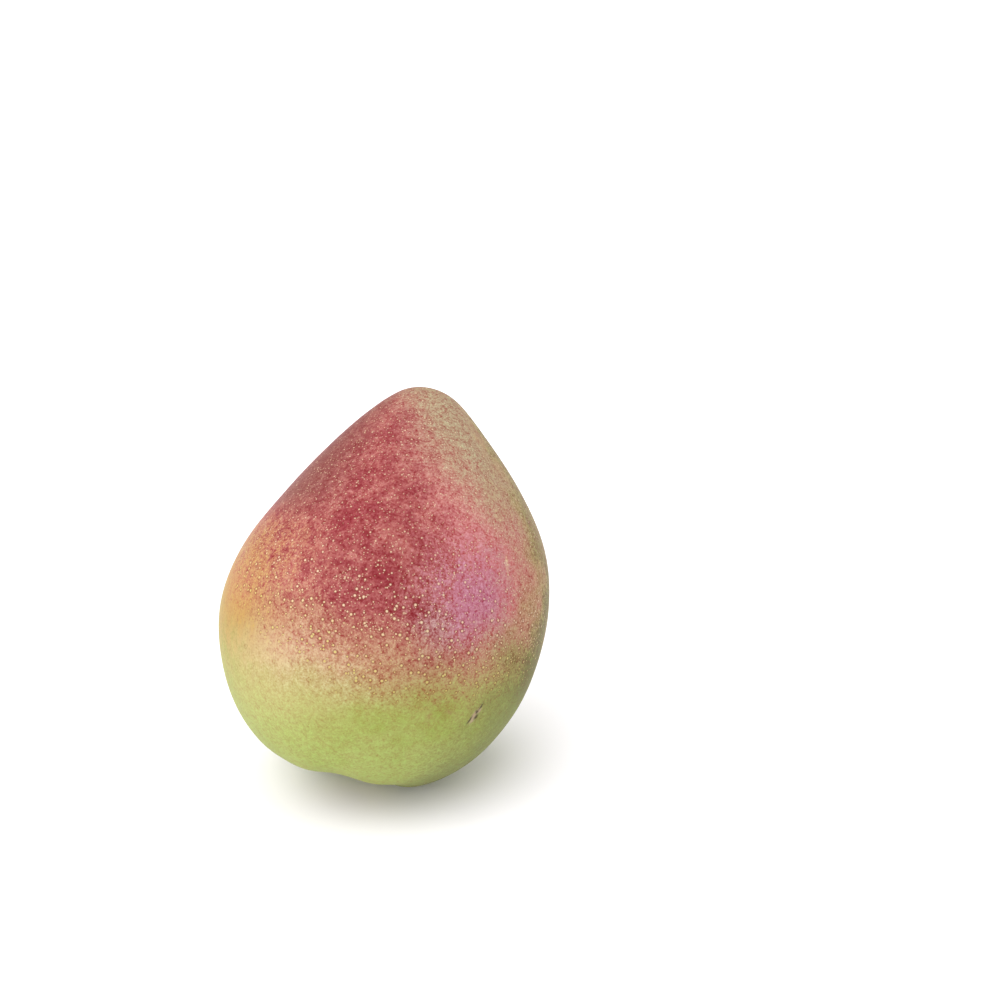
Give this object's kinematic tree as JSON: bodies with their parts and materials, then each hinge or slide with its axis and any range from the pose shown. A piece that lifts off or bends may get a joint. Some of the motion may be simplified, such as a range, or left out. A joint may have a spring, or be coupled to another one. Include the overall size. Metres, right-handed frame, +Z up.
{
  "type": "pear",
  "caption": "Whole ripe pear lying tipped back on its lower belly, with a short woody stem stub behind the crest and a dried flower end in a shallow basin.",
  "frame": {"origin": "centre of the small flat spot on the lower belly that the pear rests on", "axes": "+Z up from the ground; the pear's core line runs from the flower end, low in front and to the left, to the stem end, high behind and to the right; X to the right and Y to the back"},
  "size_m": [0.0769, 0.0763, 0.0893],
  "materials": {
    "skin": "satin, yellow-green below with a crimson blush over the upper belly and neck, and fine pale dots",
    "stem_wood": "dry, matt, yellow-green with brown edges",
    "dry_flower": "dry, matt, grey-brown and wrinkled"
  },
  "bodies": {
    "root": {"fruit": "skin", "stem": "stem_wood", "dried_flower": "dry_flower"}
  },
  "joints": []
}
